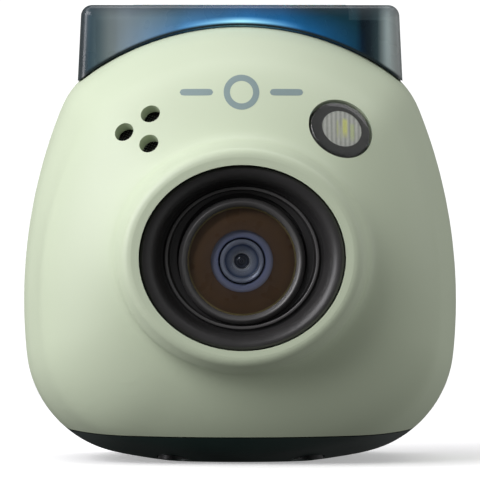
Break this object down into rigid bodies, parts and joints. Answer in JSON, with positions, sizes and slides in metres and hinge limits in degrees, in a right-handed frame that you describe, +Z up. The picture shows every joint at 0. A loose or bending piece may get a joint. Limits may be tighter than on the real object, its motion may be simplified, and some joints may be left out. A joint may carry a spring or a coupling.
{
  "type": "palm-size digital camera",
  "caption": "Rounded palm-size digital camera with an oval collar round its lens, a smoked block with a status light on top, LED flash, speaker, shutter button on the back and tripod bush.",
  "frame": {"origin": "on the table, under the middle of the camera's bounding box", "axes": "+Z up, the lens looks along -Y, +X is to the right of somebody who looks into the lens"},
  "size_m": [0.0422, 0.043, 0.0448],
  "materials": {
    "shell_pistachio": "fine satin texture",
    "smoked_plastic": "smoked, slightly see-through, polished",
    "base_green": "satin",
    "milky_plastic": "milky diffuser",
    "clear_plastic": "polished clear plastic",
    "frosted_plastic": "ribbed clear plastic",
    "board_green": "solder mask",
    "led_white": "glossy",
    "black_satin": "fine satin",
    "black_gloss": "gloss",
    "ring_blue_black": "satin anodised look",
    "clear_glass": "coated glass",
    "lens_glass": "blue coating",
    "filter_glass": "coated filter glass",
    "mask_brown": "dark brown print",
    "foam_black": "foam",
    "sensor_silicon": "silicon",
    "flex_film": "amber film",
    "phosphor_yellow": "phosphor",
    "mesh_black": "woven mesh",
    "film_clear": "thin film",
    "steel_plain": "plain steel",
    "battery_wrap": "foil wrap",
    "chip_black": "moulded package",
    "button_pistachio": "satin",
    "brass_plain": "turned"
  },
  "bodies": {
    "camera": {"front_shell": "shell_pistachio", "rear_housing": "smoked_plastic", "base_cover": "base_green", "status_light_window": "milky_plastic", "light_guide": "clear_plastic", "led_board": "board_green", "status_led_left": "led_white", "status_led_middle": "led_white", "status_led_right": "led_white", "lens_bezel": "black_satin", "lens_ring": "black_gloss", "lens_window": "clear_glass", "window_mask": "mask_brown", "lens_gasket": "foam_black", "lens_barrel": "black_satin", "lens_retaining_ring": "ring_blue_black", "lens_element_front": "lens_glass", "aperture_stop": "black_satin", "lens_element_middle": "lens_glass", "lens_element_rear": "lens_glass", "lens_holder": "black_satin", "infrared_filter": "filter_glass", "image_sensor": "sensor_silicon", "sensor_board": "board_green", "sensor_flex": "flex_film", "flash_window": "clear_plastic", "flash_mask": "black_gloss", "flash_lens": "frosted_plastic", "flash_reflector": "milky_plastic", "flash_chip": "phosphor_yellow", "flash_board": "board_green", "speaker_mesh": "mesh_black", "speaker_gasket": "foam_black", "speaker_basket": "black_satin", "speaker_diaphragm": "film_clear", "speaker_magnet": "steel_plain", "front_chassis": "black_satin", "chassis_screw_left": "steel_plain", "chassis_screw_right": "steel_plain", "base_screw_left": "steel_plain", "base_screw_right": "steel_plain", "battery": "battery_wrap", "battery_cradle": "black_satin", "main_board": "board_green", "processor_chip": "chip_black", "memory_chip": "chip_black", "shield_can": "steel_plain", "usb_socket": "steel_plain", "usb_tongue": "black_satin", "port_frame": "black_satin", "button_light_ring": "milky_plastic", "shutter_switch": "steel_plain", "switch_board": "board_green", "power_switch": "steel_plain", "tripod_bush": "brass_plain"},
    "shutter_action": {"shutter_button": "button_pistachio", "switch_plunger": "black_satin"},
    "power_action": {"power_button": "black_gloss"},
    "port_door": {"port_cover": "smoked_plastic"}
  },
  "joints": [
    {"name": "shutter_press", "type": "slide", "parent": "camera", "child": "shutter_action", "axis": [0, -1, 0], "range_m": [0, 0.0006], "stiffness_N_per_m": 900},
    {"name": "power_press", "type": "slide", "parent": "camera", "child": "power_action", "axis": [1, 0, 0], "range_m": [0, 0.00045], "stiffness_N_per_m": 1500},
    {"name": "port_door_hinge", "type": "hinge", "parent": "camera", "child": "port_door", "pos_m": [0.01841, 0.0166, 0.016], "axis": [0, 0, 1], "range_deg": [0, 95]}
  ]
}
